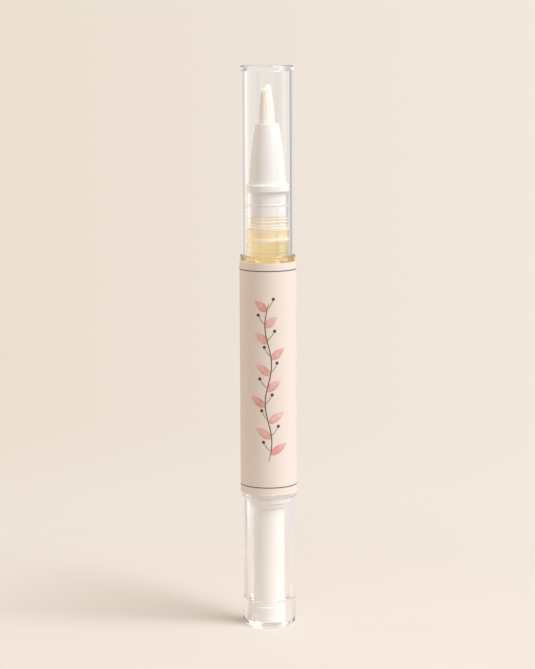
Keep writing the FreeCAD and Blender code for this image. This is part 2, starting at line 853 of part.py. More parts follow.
os.makedirs("parts", exist_ok=True)
for piece in pieces:
    piece.Shape.exportStep(f"parts/{piece.Label}.step")
    print(f"{piece.Label}: {piece.Shape.Volume:.1f} mm3")
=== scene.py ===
import math

import bmesh
import bpy
import numpy as np
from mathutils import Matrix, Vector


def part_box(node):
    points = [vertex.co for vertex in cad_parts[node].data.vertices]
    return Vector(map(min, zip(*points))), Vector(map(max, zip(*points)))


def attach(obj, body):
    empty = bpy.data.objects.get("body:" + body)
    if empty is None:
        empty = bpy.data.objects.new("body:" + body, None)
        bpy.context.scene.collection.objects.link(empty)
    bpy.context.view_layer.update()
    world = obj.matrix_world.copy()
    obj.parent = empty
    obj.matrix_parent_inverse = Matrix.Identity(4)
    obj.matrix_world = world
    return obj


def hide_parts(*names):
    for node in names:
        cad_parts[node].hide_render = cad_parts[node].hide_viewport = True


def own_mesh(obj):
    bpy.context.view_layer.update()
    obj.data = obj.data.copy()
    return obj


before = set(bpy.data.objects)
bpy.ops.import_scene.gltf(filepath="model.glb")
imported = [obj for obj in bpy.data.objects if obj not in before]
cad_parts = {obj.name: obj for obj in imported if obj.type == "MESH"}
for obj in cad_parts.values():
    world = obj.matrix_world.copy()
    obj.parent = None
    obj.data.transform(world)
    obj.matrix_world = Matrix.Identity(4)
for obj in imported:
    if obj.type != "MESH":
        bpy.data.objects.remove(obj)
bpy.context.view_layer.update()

# Twist knob
# The foot of the pen, which the fingers turn: one clear PETG cup, injection moulded. A narrow socket in
# its floor holds the white drive core by a press fit, under a sloping ledge at the foot of the wide bore.
# Its rim runs just clear of the barrel's end.
MM = 0.001


def extent(node):
    """Lowest height, highest height and outer radius of a CAD node, in millimetres."""
    low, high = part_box(node)
    return low.z / MM, high.z / MM, high.x / MM


def rounded(corners, steps=8):
    """Closed outline whose corners (across, up, radius) become circular arcs that touch both sides. With t
    from 0 to 1, a point of the arc is the corner plus the way back times (1-t) squared plus the way ahead
    times t squared, over (1-t) squared plus t squared plus 2t(1-t) times the sine of half the corner's
    angle. Each way is the radius over the tangent of that half angle. A support point beyond each end of
    the arc keeps the flat sides flat when they are shaded smooth."""
    straightest = 0.9999
    support = 1.2
    closest = 1e-6
    corners = np.array(corners, float)
    point, radius = corners[:, :2], corners[:, 2]
    back = np.roll(point, 1, axis=0) - point
    ahead = np.roll(point, -1, axis=0) - point
    back /= np.linalg.norm(back, axis=1, keepdims=True)
    ahead /= np.linalg.norm(ahead, axis=1, keepdims=True)
    cosine = np.clip((back * ahead).sum(axis=1), -straightest, straightest)
    reach = (radius * np.sqrt((1 + cosine) / (1 - cosine)))[:, None, None]
    weight = np.sqrt((1 - cosine) / 2)[:, None, None]
    t = np.linspace(0, 1, steps)[None, :, None]
    under = (1 - t) ** 2 + t ** 2 + 2 * t * (1 - t) * weight
    from_back = np.pad((1 - t) ** 2 / under, ((0, 0), (1, 1), (0, 0)))
    from_ahead = np.pad(t ** 2 / under, ((0, 0), (1, 1), (0, 0)))
    from_back[:, 0] = support
    from_ahead[:, -1] = support
    curve = point[:, None] + reach * (back[:, None] * from_back + ahead[:, None] * from_ahead)
    curve = curve.reshape(-1, 2)
    moved = np.linalg.norm(np.roll(curve, -1, axis=0) - curve, axis=1)
    return curve[moved > closest]


def grid_piece(name, points, wrap_rows=True, wrap_columns=True, tone=None):
    """Object whose mesh has one quad between each four neighbours of a grid of points in metres. The last
    two counts of the array are rows and columns, and a count before them is for many like grids. Rows and
    columns wrap round where told, points that coincide are merged, so poles and seams close, and edges
    sharper than 35 degrees stay crisp. A tone for each point is kept as an attribute of that name."""
    merge_distance = 1e-7
    crisp_angle = math.radians(35)
    index = np.arange(points.size // 3).reshape(points.shape[:-1])
    if wrap_rows:
        index = np.concatenate([index, index[..., :1, :]], axis=-2)
    if wrap_columns:
        index = np.concatenate([index, index[..., :, :1]], axis=-1)
    row, next_row = index[..., :-1, :], index[..., 1:, :]
    corners = (row[..., :-1], row[..., 1:], next_row[..., 1:], next_row[..., :-1])
    mesh = bpy.data.meshes.new(name)
    faces = np.stack(corners, axis=-1).reshape(-1, 4)
    mesh.from_pydata(points.reshape(-1, 3).tolist(), [], faces.tolist())
    if tone is not None:
        shade = mesh.attributes.new("tone", "FLOAT", "POINT")
        shade.data.foreach_set("value", np.broadcast_to(tone, points.shape[:-1]).ravel())
    work = bmesh.new()
    work.from_mesh(mesh)
    bmesh.ops.remove_doubles(work, verts=work.verts, dist=merge_distance)
    work.to_mesh(mesh)
    work.free()
    mesh.shade_smooth()
    mesh.set_sharp_from_angle(angle=crisp_angle)
    piece = bpy.data.objects.new(name, mesh)
    bpy.context.scene.collection.objects.link(piece)
    return piece


def lathe(name, outline, turns=192):
    """Closed body turned about the pen's axis from an anticlockwise outline in millimetres: the point
    (across, up) at angle a lies at (across times cosine a, across times sine a, up)."""
    angle = np.linspace(0, 2 * np.pi, turns, endpoint=False)
    across, up = (outline.T * MM)[:, :, None]
    points = np.broadcast_arrays(across * np.cos(angle), across * np.sin(angle), up)
    return grid_piece(name, np.stack(points, axis=-1))


def dress(piece, material, slot, body, *nodes):
    """Gives a new piece its material, lets it ride on a body and stand for CAD nodes. The slot is not used.
    """
    piece.data.materials.append(material)
    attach(piece, body)
    if nodes:
        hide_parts(*nodes)


def linear(colour):
    """Linear red, green, blue and full alpha of an sRGB hex colour."""
    value = np.array([int(colour[i:i + 2], 16) for i in (1, 3, 5)]) / 255
    value = np.where(value <= 0.04045, value / 12.92, ((value + 0.055) / 1.055) ** 2.4)
    return (*value.tolist(), 1.0)


def add_node(tree, kind, inputs, **settings):
    """Adds one shader node: settings are its own properties, and an input is a value or a linked socket."""
    node = tree.nodes.new("ShaderNode" + kind)
    for key, value in settings.items():
        setattr(node, key, value)
    for key, value in inputs.items():
        if isinstance(value, bpy.types.NodeSocket):
            tree.links.new(value, node.inputs[key])
        else:
            node.inputs[key].default_value = value
    return node


def new_material(name):
    """Empty node material, its tree and its output node."""
    material = bpy.data.materials.new(name)
    material.use_nodes = True
    tree = material.node_tree
    tree.nodes.clear()
    return material, tree, add_node(tree, "OutputMaterial", {})


def let_light_through(tree, surface, output, colour, dull=True):
    """Shows a clear or milky surface to the eye, but lets light from lamps pass it unbent, in the given
    colour, so that what lies behind it stays lit. Where told, light from dull surfaces passes it too."""
    unbent = add_node(tree, "BsdfTransparent", {"Color": colour})
    path = add_node(tree, "LightPath", {})
    for_lamps = add_node(tree, "MixShader", {
        0: path.outputs["Is Shadow Ray"],
        1: surface,
        2: unbent.outputs["BSDF"],
    })
    if dull:
        for_lamps = add_node(tree, "MixShader", {
            0: path.outputs["Is Diffuse Ray"],
            1: for_lamps.outputs["Shader"],
            2: unbent.outputs["BSDF"],
        })
    tree.links.new(for_lamps.outputs["Shader"], output.inputs["Surface"])


# Clear PETG, injection moulded: water clear and glossy. The steel of the mould leaves faint flow lines
# along the draw, 1.2 mm apart and 40 mm long, that break its reflections into upright streaks.
flow_spacing = 1.2 * MM
flow_length = 40 * MM
clear_petg, tree, output = new_material("clear_petg_moulded")
place = add_node(tree, "TexCoord", {})
flow = add_node(tree, "Mapping", {
    "Vector": place.outputs["Object"],
    "Scale": (1 / flow_spacing, 1 / flow_spacing, 1 / flow_length),
})
waves = add_node(tree, "TexNoise", {"Vector": flow.outputs["Vector"], "Scale": 1.0, "Detail": 2.0})
ripple = add_node(tree, "Bump", {"Height": waves.outputs["Fac"], "Strength": 0.2, "Distance": 0.02 * MM})
gloss = add_node(tree, "MapRange", {"Value": waves.outputs["Fac"], "To Min": 0.0, "To Max": 0.05})
plastic = add_node(tree, "BsdfPrincipled", {
    "Base Color": linear("#FFFFFF"),
    "Roughness": gloss.outputs["Result"],
    "IOR": 1.52,
    "Transmission Weight": 1.0,
    "Normal": ripple.outputs["Normal"],
})
let_light_through(tree, plastic.outputs["BSDF"], output, linear("#FFFFFF"))

knob_low, knob_top, knob_radius = extent("knob")
knob_rim = knob_top + 0.15
knob_foot_radius = knob_radius - 0.15
knob_bore = knob_radius - 1.05
knob_floor = knob_low + 1.3
socket_radius = 3.57
socket_top = knob_floor + 4.45
ledge_top = socket_top + 0.55
knob_cup = lathe("knob_cup", rounded([
    (0, knob_low, 0),
    (knob_foot_radius, knob_low, 1.2),
    (knob_radius, knob_rim, 0.04),
    (knob_bore, knob_rim, 0.1),
    (knob_bore, ledge_top, 0.04),
    (socket_radius, socket_top, 0.04),
    (socket_radius, knob_floor, 0.2),
    (0, knob_floor, 0),
]))
dress(knob_cup, clear_petg, "clear_plastic", "knob", "knob")

# Drive core and guide nut
# The white feed mechanism: a keyed core pressed into the knob, with spring pawls, and a fixed nut with
# ratchet teeth that snaps into the barrel. Both are moulded polypropylene.


def refinish(node, material):
    """Gives a CAD node that keeps its own shape a finished material."""
    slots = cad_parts[node].data.materials
    slots.clear()
    slots.append(material)


# White polypropylene, moulded in a spark-finished tool: satin, with a fine grain, slight clouds and a
# faint glow at thin edges.
grain_size = 0.35 * MM
cloud_size = 6 * MM
white_pp, tree, output = new_material("white_polypropylene_moulded")
place = add_node(tree, "TexCoord", {})
grain = add_node(tree, "TexNoise", {
    "Vector": place.outputs["Object"],
    "Scale": 1 / grain_size,
    "Detail": 3.0,
})
satin = add_node(tree, "Bump", {"Height": grain.outputs["Fac"], "Strength": 0.12, "Distance": 0.01 * MM})
cloud = add_node(tree, "TexNoise", {
    "Vector": place.outputs["Object"],
    "Scale": 1 / cloud_size,
    "Detail": 1.0,
})
tint = add_node(tree, "Mix", {
    0: cloud.outputs["Fac"],
    6: linear("#F7F7F6"),
    7: linear("#FCFCFC"),
}, data_type="RGBA")
body = add_node(tree, "BsdfPrincipled", {
    "Base Color": tint.outputs[2],
    "Roughness": 0.34,
    "IOR": 1.49,
    "Subsurface Weight": 0.15,
    "Subsurface Radius": (1.0, 0.9, 0.8),
    "Subsurface Scale": 0.8 * MM,
    "Normal": satin.outputs["Normal"],
})
tree.links.new(body.outputs["BSDF"], output.inputs["Surface"])
refinish("drive_core", white_pp)
refinish("guide_nut", white_pp)

# Screw rod
# The lead screw that pushes the piston: a moulded rod with a coarse right-hand thread, two flats that key
# it in the core, and a bevelled head that snaps into the piston.
rod_low, rod_top, head_radius = extent("screw_rod")
rod_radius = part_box("screw_rod")[1].y / MM
flat_half = rod_radius - 0.5
thread_pitch = 2.0
thread_depth = 0.35
root_share = 0.35
flank_share = 0.3
head_low = rod_top - 1.6
neck_low = head_low - 0.7
head_bevel = 0.5
stem_radius = rod_radius - 0.65


def threaded_rod(name, turns=64, steps_a_turn=14):
    """Lead screw as a grid of rings. A ring of the shaft has the rod's radius less the thread's depth
    times one minus the lift. The lift is 1 on the crest and 0 in the root, with straight flanks: it
    follows the triangle wave of height over pitch less angle over a full turn. Both sides are cut off at
    the flats."""
    angle = np.linspace(0, 2 * np.pi, turns, endpoint=False)
    up = np.linspace(rod_low, neck_low, int((neck_low - rod_low) / thread_pitch * steps_a_turn))[:, None]
    wave = np.abs(2 * np.mod(up / thread_pitch - angle / (2 * np.pi), 1) - 1)
    lift = np.clip((wave - root_share) / flank_share, 0, 1)
    shaft = rod_radius - thread_depth * (1 - lift)
    end_up = np.array([neck_low, head_low, head_low, rod_top - head_bevel, rod_top, rod_top])[:, None]
    end = np.array([stem_radius, stem_radius, head_radius, head_radius, head_radius - head_bevel, 0])[:, None]
    up = np.concatenate([up[:1], up, end_up]) + 0 * angle
    across = np.concatenate([0 * shaft[:1], shaft, end + 0 * angle])
    sideways = across * np.cos(angle)
    sideways = np.where(up > neck_low, sideways, np.clip(sideways, -flat_half, flat_half))
    points = np.stack([sideways, across * np.sin(angle), up], axis=-1)
    return grid_piece(name, MM * points, wrap_rows=False)


dress(threaded_rod("lead_screw"), white_pp, "white_plastic", "screw", "screw_rod")

# Piston
# The soft plunger behind the oil: natural polyethylene, moulded in one piece with two thin sealing lips,
# and snapped over the screw's head.

# Natural polyethylene, unpigmented: milky and half see-through, with a soft waxy shine and slight clouds.
haze_size = 1.2 * MM
natural_pe, tree, output = new_material("natural_polyethylene")
place = add_node(tree, "TexCoord", {})
haze = add_node(tree, "TexNoise", {
    "Vector": place.outputs["Object"],
    "Scale": 1 / haze_size,
    "Detail": 2.0,
})
waxy = add_node(tree, "MapRange", {"Value": haze.outputs["Fac"], "To Min": 0.22, "To Max": 0.38})
milk = add_node(tree, "Mix", {
    0: haze.outputs["Fac"],
    6: linear("#FAF5EA"),
    7: linear("#FEFBF4"),
}, data_type="RGBA")
milky = add_node(tree, "BsdfPrincipled", {
    "Base Color": milk.outputs[2],
    "Roughness": waxy.outputs["Result"],
    "IOR": 1.51,
    "Transmission Weight": 0.1,
})
glow = add_node(tree, "BsdfTranslucent", {"Color": milk.outputs[2]})
wax = add_node(tree, "MixShader", {0: 0.35, 1: milky.outputs["BSDF"], 2: glow.outputs["BSDF"]})
let_light_through(tree, wax.outputs["Shader"], output, linear("#E5E0D5"), dull=False)
refinish("piston", natural_pe)

# Barrel
# The reservoir: one clear PETG tube with a shoulder that the cap seats on and a narrower neck, whose low
# bead grips the cap. Its rear end takes the nut's snap ring in a shallow groove.
barrel_low, neck_top, barrel_radius = extent("barrel")
shoulder = neck_top - 13.8
barrel_bore = barrel_radius - 1.0
neck_radius = barrel_radius - 1.35
neck_bore = neck_radius - 0.7
cone_low = shoulder - 1.3
cone_top = cone_low + 1.15
bead_middle = shoulder + 10.8
bead_radius = neck_radius + 0.14
bead_half = 0.25
bead_crest = 0.15
groove_middle = barrel_low + 2.7
groove_radius = barrel_bore + 0.18
groove_half = 0.42
groove_bed = 0.22
barrel_tube = lathe("barrel_tube", rounded([
    (barrel_bore, barrel_low, 0.05),
    (barrel_radius, barrel_low, 0.02),
    (barrel_radius, shoulder, 0.3),
    (neck_radius, shoulder, 0.03),
    (neck_radius, bead_middle - bead_half, 0.04),
    (bead_radius, bead_middle - bead_crest, 0.12),
    (bead_radius, bead_middle + bead_crest, 0.12),
    (neck_radius, bead_middle + bead_half, 0.04),
    (neck_radius, neck_top, 0.15),
    (neck_bore, neck_top, 0.1),
    (neck_bore, cone_top, 0.25),
    (barrel_bore, cone_low, 0.4),
    (barrel_bore, groove_middle + groove_half, 0.05),
    (groove_radius, groove_middle + groove_bed, 0.05),
    (groove_radius, groove_middle - groove_bed, 0.05),
    (barrel_bore, groove_middle - groove_half, 0.05),
]))
dress(barrel_tube, clear_petg, "clear_plastic", "barrel", "barrel")

# Label
# One strip of blush uncoated paper, wrapped round the barrel and glued, with a narrow open seam at the
# back and a white band along its top and bottom edges.
label_low, label_top, label_radius = extent("label")
label_inner = label_radius - 0.1
seam_width = 1.9


def wrapped_sheet(name, steps=240):
    """Rectangular section of the paper carried round the barrel, from one side of the seam at the back to
    the other. The section shrinks to its middle at both ends, which closes them."""
    half_seam = seam_width / label_inner / 2
    angle = np.pi / 2 + np.linspace(half_seam, 2 * np.pi - half_seam, steps + 1)
    angle = np.pad(angle, 1, mode="edge")
    share = np.pad(np.ones(steps + 1), 1)
    across = np.array([label_inner, label_radius, label_radius, label_inner])[:, None]
    up = np.array([label_low, label_low, label_top, label_top])[:, None]
    across = across.mean() + (across - across.mean()) * share
    up = up.mean() + (up - up.mean()) * share
    points = np.stack([across * np.cos(angle), across * np.sin(angle), up], axis=-1)
    return grid_piece(name, MM * points, wrap_columns=False)


# Uncoated label paper with a blush tint printed all over: matt, with a fine fibre mottle, and white along
# its top and bottom edges, over about 0.15 mm so that it shows: full within 0.1 mm, fading out by 0.2 mm.
fibre_size = 0.3 * MM
white_from = 0.2
white_full = 0.1
paper, tree, output = new_material("blush_label_paper")
place = add_node(tree, "TexCoord", {})
fibre = add_node(tree, "TexNoise", {
    "Vector": place.outputs["Object"],
    "Scale": 1 / fibre_size,
    "Detail": 4.0,
})
mottle = add_node(tree, "Mix", {
    0: fibre.outputs["Fac"],
    6: linear("#F2E9E2"),
    7: linear("#F8F0EB"),
}, data_type="RGBA")
height = add_node(tree, "SeparateXYZ", {"Vector": place.outputs["Object"]})
middle = (label_low + label_top) / 2
off_middle = add_node(tree, "Math", {0: height.outputs["Z"], 1: middle * MM}, operation="SUBTRACT")
from_middle = add_node(tree, "Math", {0: off_middle.outputs[0]}, operation="ABSOLUTE")
at_edge = add_node(tree, "MapRange", {
    "Value": from_middle.outputs[0],
    "From Min": (label_top - middle - white_from) * MM,
    "From Max": (label_top - middle - white_full) * MM,
})
cut = add_node(tree, "Mix", {
    0: at_edge.outputs["Result"],
    6: mottle.outputs[2],
    7: linear("#FDFBF8"),
}, data_type="RGBA")
tooth = add_node(tree, "Bump", {"Height": fibre.outputs["Fac"], "Strength": 0.15, "Distance": 0.01 * MM})
face = add_node(tree, "BsdfPrincipled", {
    "Base Color": cut.outputs[2],
    "Roughness": 0.6,
    "Normal": tooth.outputs["Normal"],
})
glow = add_node(tree, "BsdfTranslucent", {"Color": linear("#F6E9E2")})
sheet = add_node(tree, "MixShader", {0: 0.12, 1: face.outputs["BSDF"], 2: glow.outputs["BSDF"]})
let_light_through(tree, sheet.outputs["Shader"], output, linear("#B4B0AC"), dull=False)
dress(wrapped_sheet("label_wrap"), paper, "label_paper", "barrel", "label")

# Label print
# A plain leafy sprig up the front of the label, with dots and two thin border lines, screen printed: rose
# leaves in a thin wash, and the lines and dots in charcoal.
ink_film = 0.01


def printed(name, aside, up, half_width, tone=0.0, columns=7):
    """Closed films of ink that follow paths on the paper. A path's point is given by its way round from
    the front's middle and its height in millimetres. Points lie to the right and left of it by the half
    width times t from -1 to 1, above the paper by the ink's film and back at the paper's face, and way
    round over the label's radius is the angle. The tone grows with t to the fourth power, to the rim."""
    rim_tone = 0.45
    run = np.gradient(aside, axis=-1)
    rise = np.gradient(up, axis=-1)
    length = np.hypot(run, rise)
    t = np.linspace(-1, 1, columns)
    t = np.concatenate([t, t[::-1]])
    lift = ink_film * np.repeat([1.0, 0.0], columns) * np.minimum(1, half_width[..., None] / ink_film)
    aside = aside[..., None] + (half_width * rise / length)[..., None] * t
    up = up[..., None] - (half_width * run / length)[..., None] * t
    across = label_radius + lift
    angle = aside / label_radius
    points = np.stack([across * np.sin(angle), -across * np.cos(angle), up], axis=-1)
    shade = np.asarray(tone)[..., None] + rim_tone * np.abs(t) ** 4
    return grid_piece(name, MM * points, wrap_rows=False, tone=shade)


sprig_low = label_low + 7.5
sprig_top = label_top - 8.5
sway = 0.7
sway_period = 17.0
stem_steps = 120
stem_line = 0.11
stem_up = np.linspace(sprig_low, sprig_top, stem_steps)
stem_aside = sway * np.sin(2 * np.pi * (stem_up - sprig_low) / sway_period)
stem_half = stem_line * np.sqrt(np.clip(1 - np.linspace(-1, 1, stem_steps) ** 8, 0, 1))

leaf_count = 10
leaf_length = 4.6
leaf_half = 0.85
leaf_taper = 0.25
leaf_droop = 0.5
first_leaf = 1.5
bare_stem = 3.5
first_lean = 52
lean_change = 14
number = np.arange(leaf_count)[:, None]
side = np.where(number % 2 == 0, 1.0, -1.0)
along = np.linspace(0, 1, 17)[None, :]
foot_up = sprig_low + first_leaf + (sprig_top - sprig_low - bare_stem) * number / (leaf_count - 1)
foot_aside = sway * np.sin(2 * np.pi * (foot_up - sprig_low) / sway_period)
lean = np.radians(first_lean - lean_change * number / leaf_count) * side
leaf_size = leaf_length * (1 - leaf_taper * number / leaf_count)
forward = leaf_size * along
droop = leaf_droop * side * along ** 2
leaf_aside = foot_aside + forward * np.sin(lean) + droop * np.cos(lean)
leaf_up = foot_up + forward * np.cos(lean) - droop * np.sin(lean)
leaf_width = leaf_half * np.sin(np.pi * along ** 0.8) + 0 * number
leaf_tone = 0.55 - 0.5 * along + 0.12 * np.cos(2.1 * number)

# Rose ink in a thin wash: the paper shows through it, and it pools darker at the leaf's foot and rim.
bloom_size = 1.1 * MM
rose_ink, tree, output = new_material("rose_wash_ink")
place = add_node(tree, "TexCoord", {})
pool = add_node(tree, "Attribute", {}, attribute_name="tone")
bloom = add_node(tree, "TexNoise", {
    "Vector": place.outputs["Object"],
    "Scale": 1 / bloom_size,
    "Detail": 3.0,
})
wash = add_node(tree, "Math", {0: bloom.outputs["Fac"], 1: pool.outputs["Fac"]}, operation="ADD")
depth = add_node(tree, "MapRange", {"Value": wash.outputs[0], "From Min": 0.35, "From Max": 1.35})
rose = add_node(tree, "Mix", {
    0: depth.outputs["Result"],
    6: linear("#F8DAD3"),
    7: linear("#DE8F8B"),
}, data_type="RGBA")
print_face = add_node(tree, "BsdfPrincipled", {"Base Color": rose.outputs[2], "Roughness": 0.55})
tree.links.new(print_face.outputs["BSDF"], output.inputs["Surface"])
dress(printed("print_leaves", leaf_aside, leaf_up, leaf_width, leaf_tone), rose_ink, "label_paper", "barrel")

# Charcoal ink: matt and nearly black, a little thinner where the screen's mesh held it back.
mesh_size = 0.25 * MM
charcoal_ink, tree, output = new_material("charcoal_screen_ink")
place = add_node(tree, "TexCoord", {})
screen = add_node(tree, "TexNoise", {
    "Vector": place.outputs["Object"],
    "Scale": 1 / mesh_size,
    "Detail": 2.0,
})
charcoal = add_node(tree, "Mix", {
    0: screen.outputs["Fac"],
    6: linear("#3B3331"),
    7: linear("#5A4F4B"),
}, data_type="RGBA")
print_face = add_node(tree, "BsdfPrincipled", {"Base Color": charcoal.outputs[2], "Roughness": 0.55})
tree.links.new(print_face.outputs["BSDF"], output.inputs["Surface"])
dress(printed("print_stem", stem_aside, stem_up, stem_half), charcoal_ink, "label_paper", "barrel")

dot_radius = 0.36
dot_lean = np.radians(38) * -side
dot_reach = 2.4
stalk_rise = 0.9
stalk_line = 0.06
dot_along = -np.cos(np.pi * np.linspace(0, 1, 13))[None, :]
dot_aside = foot_aside + dot_reach * np.sin(dot_lean) + 0 * dot_along
dot_up = foot_up + stalk_rise + dot_reach * np.cos(dot_lean) + dot_radius * dot_along
dot_half = dot_radius * np.sqrt(np.clip(1 - dot_along ** 2, 0, 1)) + 0 * number
dress(printed("print_dots", dot_aside, dot_up, dot_half), charcoal_ink, "label_paper", "barrel")

stalk_along = np.linspace(0, 1, 9)[None, :]
stalk_foot = foot_up + stalk_rise
stalk_root = sway * np.sin(2 * np.pi * (stalk_foot - sprig_low) / sway_period)
stalk_aside = stalk_root + (dot_aside[:, :1] - stalk_root) * stalk_along
stalk_up = stalk_foot + (dot_up.mean(axis=1, keepdims=True) - stalk_foot) * stalk_along ** 1.6
stalk_half = stalk_line * np.clip(1 - (2 * stalk_along - 1) ** 12, 0, 1) + 0 * number
dress(printed("print_stalks", stalk_aside, stalk_up, stalk_half), charcoal_ink, "label_paper", "barrel")

border_inset = 1.7
border_line = 0.1
border_end = 0.4
border_steps = 241
border_reach = np.pi * label_radius - seam_width / 2 - border_end
border_aside = np.linspace(-border_reach, border_reach, border_steps)[None, :] + np.zeros((2, 1))
border_up = np.array([[label_low + border_inset], [label_top - border_inset]]) + 0 * border_aside
border_half = border_line * np.clip(1 - np.linspace(-1, 1, border_steps) ** 40, 0, 1) + 0 * border_aside
dress(printed("print_borders", border_aside, border_up, border_half), charcoal_ink, "label_paper", "barrel")

# Oil
# The fill: pale yellow nail oil that wets the barrel. A ring of it rides on the piston's crown, and the
# column above shortens as it is fed out. The rest stays under the inner cone and in the neck, where a film
# creeps up round the plug's waist.
oil_wetting = 0.05
column_low, column_top = extent("oil_column")[:2]
crown_top = column_low + 0.5
crown_eye = 0.5
crown_radius = barrel_bore - 0.01
crown_eye_low = crown_top - 0.05
crown_face = crown_top - 0.02
oil_column = lathe("oil_fill_column", rounded([
    (0, crown_top, 0),
    (barrel_bore + oil_wetting, crown_top, 0),
    (barrel_bore + oil_wetting, column_top, 0),
    (0, column_top, 0),
]))
oil_crown = lathe("oil_fill_crown", rounded([
    (crown_eye, crown_eye_low, 0),
    (crown_radius, column_low, 0),
    (crown_radius, crown_face, 0),
    (crown_eye, crown_face, 0),
]))
reserve_low, oil_top = extent("oil_neck")[:2]
nose_radius = neck_bore - 0.3
nose_height = 0.9
lip_low = oil_top - 2.3
lip_top = lip_low + 0.5
waist_radius = neck_bore - 1.1
slope = np.linspace(0, np.pi / 2, 16)
nose = np.column_stack([
    nose_radius * np.sin(slope),
    lip_low - nose_height * np.cos(slope),
    0 * slope,
])
oil_neck = lathe("oil_fill_neck", rounded([
    (0, reserve_low, 0),
    (barrel_bore + oil_wetting, reserve_low, 0),
    (barrel_bore + oil_wetting, cone_low, 0.4),
    (neck_bore + oil_wetting, cone_top, 0.25),
    (neck_bore + oil_wetting, lip_low + oil_wetting, 0),
    *(nose[::-1] + (0, oil_wetting, 0)),
]))
oil_film = lathe("oil_fill_film", rounded([
    (waist_radius - oil_wetting, lip_top - oil_wetting, 0),
    (neck_bore + oil_wetting, lip_top - oil_wetting, 0),
    (neck_bore + oil_wetting, oil_top + oil_wetting, 0),
    (waist_radius - oil_wetting, oil_top + oil_wetting, 0),
]))

# Clear vegetable oil: colourless at its face, but 10 mm of it hold back most blue and some green light.
nail_oil, tree, output = new_material("nail_oil")
liquid = add_node(tree, "BsdfPrincipled", {
    "Base Color": linear("#FFFFFF"),
    "Roughness": 0.0,
    "IOR": 1.47,
    "Transmission Weight": 1.0,
})
let_light_through(tree, liquid.outputs["BSDF"], output, linear("#FFFFFF"))
yellow = add_node(tree, "VolumeAbsorption", {"Color": linear("#FCE664"), "Density": 145.0})
tree.links.new(yellow.outputs["Volume"], output.inputs["Volume"])
dress(oil_column, nail_oil, "oil", "barrel", "oil_column")
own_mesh(oil_column)
dress(oil_crown, nail_oil, "oil", "piston")
dress(oil_neck, nail_oil, "oil", "barrel", "oil_neck")
dress(oil_film, nail_oil, "oil", "barrel")

# Nozzle
# The white brush holder: a bullet moulded in polypropylene, with a flange on the neck's end and a hollow
# shank pressed into the neck, where a land and a bead grip the bore.
shank_low, tip, flange_radius = extent("nozzle")
flange_low = neck_top + 0.02
flange_top = flange_low + 1.5
shank_radius = neck_bore - 0.05
shank_bore = shank_radius - 1.0
shank_depth = 3.62
tip_radius = 2.55
tip_edge = 0.22
land_radius = neck_bore + 0.03
land_low = flange_low - 0.4
land_slope = 0.08
shank_bead = flange_low - 2.9
shank_bead_half = 0.18
shank_bead_crest = 0.1
tuft_socket = 1.74
tuft_socket_depth = 7.7
cavity = tuft_socket + 0.35
bulge_radius = 90
along = np.linspace(0, 1, 24)
chord = np.hypot(shank_radius - tip_radius, tip - flange_top)
swell = 4 * along * (1 - along) * chord ** 2 / (8 * bulge_radius)
bullet = np.column_stack([
    shank_radius + (tip_radius - shank_radius) * along + swell,
    flange_top + (tip - tip_edge - flange_top) * along,
    0 * along,
])
nozzle_holder = lathe("nozzle_holder", rounded([
    (shank_bore, shank_low, 0.05),
    (shank_radius, shank_low, 0.15),
    (shank_radius, shank_bead - shank_bead_half, 0.03),
    (land_radius, shank_bead - shank_bead_crest, 0.05),
    (land_radius, shank_bead + shank_bead_crest, 0.05),
    (shank_radius, shank_bead + shank_bead_half, 0.03),
    (shank_radius, land_low - land_slope, 0.03),
    (land_radius, land_low, 0.05),
    (land_radius, flange_low, 0),
    (flange_radius, flange_low, 0.1),
    (flange_radius, flange_top, 0.28),
    *bullet,
    (tip_radius, tip, 0.2),
    (tuft_socket, tip, 0.1),
    (tuft_socket, tip - tuft_socket_depth, 0),
    (cavity, tip - tuft_socket_depth, 0),
    (cavity, shank_low + shank_depth, 0),
    (shank_bore, shank_low + shank_depth, 0),
]))
dress(nozzle_holder, white_pp, "white_plastic", "barrel", "nozzle")

# Seal plug and feed tube
# A natural polyethylene stopper in the neck: fine ribs, a broad band and a lip seal on the bore, and a
# domed nose dips into the oil. The thin feed tube runs up through it to the brush.
plug_top = extent("seal_plug")[1]
tube_hole = 0.52
band_top = oil_top + 0.7
collar_top = oil_top + 2.95
collar_radius = neck_bore - 0.25
spigot_radius = shank_bore - 0.02
seal_radius = neck_bore + 0.03
rib_half = 0.18
rib_crest = 0.08
ribs = []
for rib_drop in (1.86, 1.11, 0.36):
    rib_middle = collar_top - rib_drop
    ribs += [
        (collar_radius, rib_middle - rib_half, 0.05),
        (seal_radius, rib_middle - rib_crest, 0.06),
        (seal_radius, rib_middle + rib_crest, 0.06),
        (collar_radius, rib_middle + rib_half, 0.05),
    ]
plug_body = lathe("plug_body", rounded([
    *nose[nose[:, 0] > tube_hole],
    (seal_radius, lip_low, 0.15),
    (seal_radius, lip_top, 0.15),
    (waist_radius, lip_top, 0.1),
    (waist_radius, oil_top, 0.1),
    (seal_radius, oil_top, 0.1),
    (seal_radius, band_top, 0.1),
    (collar_radius, band_top, 0.05),
    *ribs,
    (collar_radius, collar_top, 0.1),
    (spigot_radius, collar_top, 0),
    (spigot_radius, plug_top, 0.2),
    (tube_hole, plug_top, 0.05),
]))
dress(plug_body, natural_pe, "natural_plastic", "barrel", "seal_plug")
refinish("feed_tube", natural_pe)

# Brush
# The applicator: a tuft of ivory nylon filaments, fused at the root inside the nozzle, pressed together to
# a wedge and trimmed to a slant.
tuft_top = extent("bristles")[1]
filaments = 560
tuft_radius = 1.66
tuft_lean = 1.3
tuft_width = 1.9
trim_slope = math.tan(math.radians(37))
filament_radius = 0.075
root_up = tip - 1.0
wedge_share = 0.66
trim_spread = 1.1
end_spread = 0.16
bend_power = 1.4


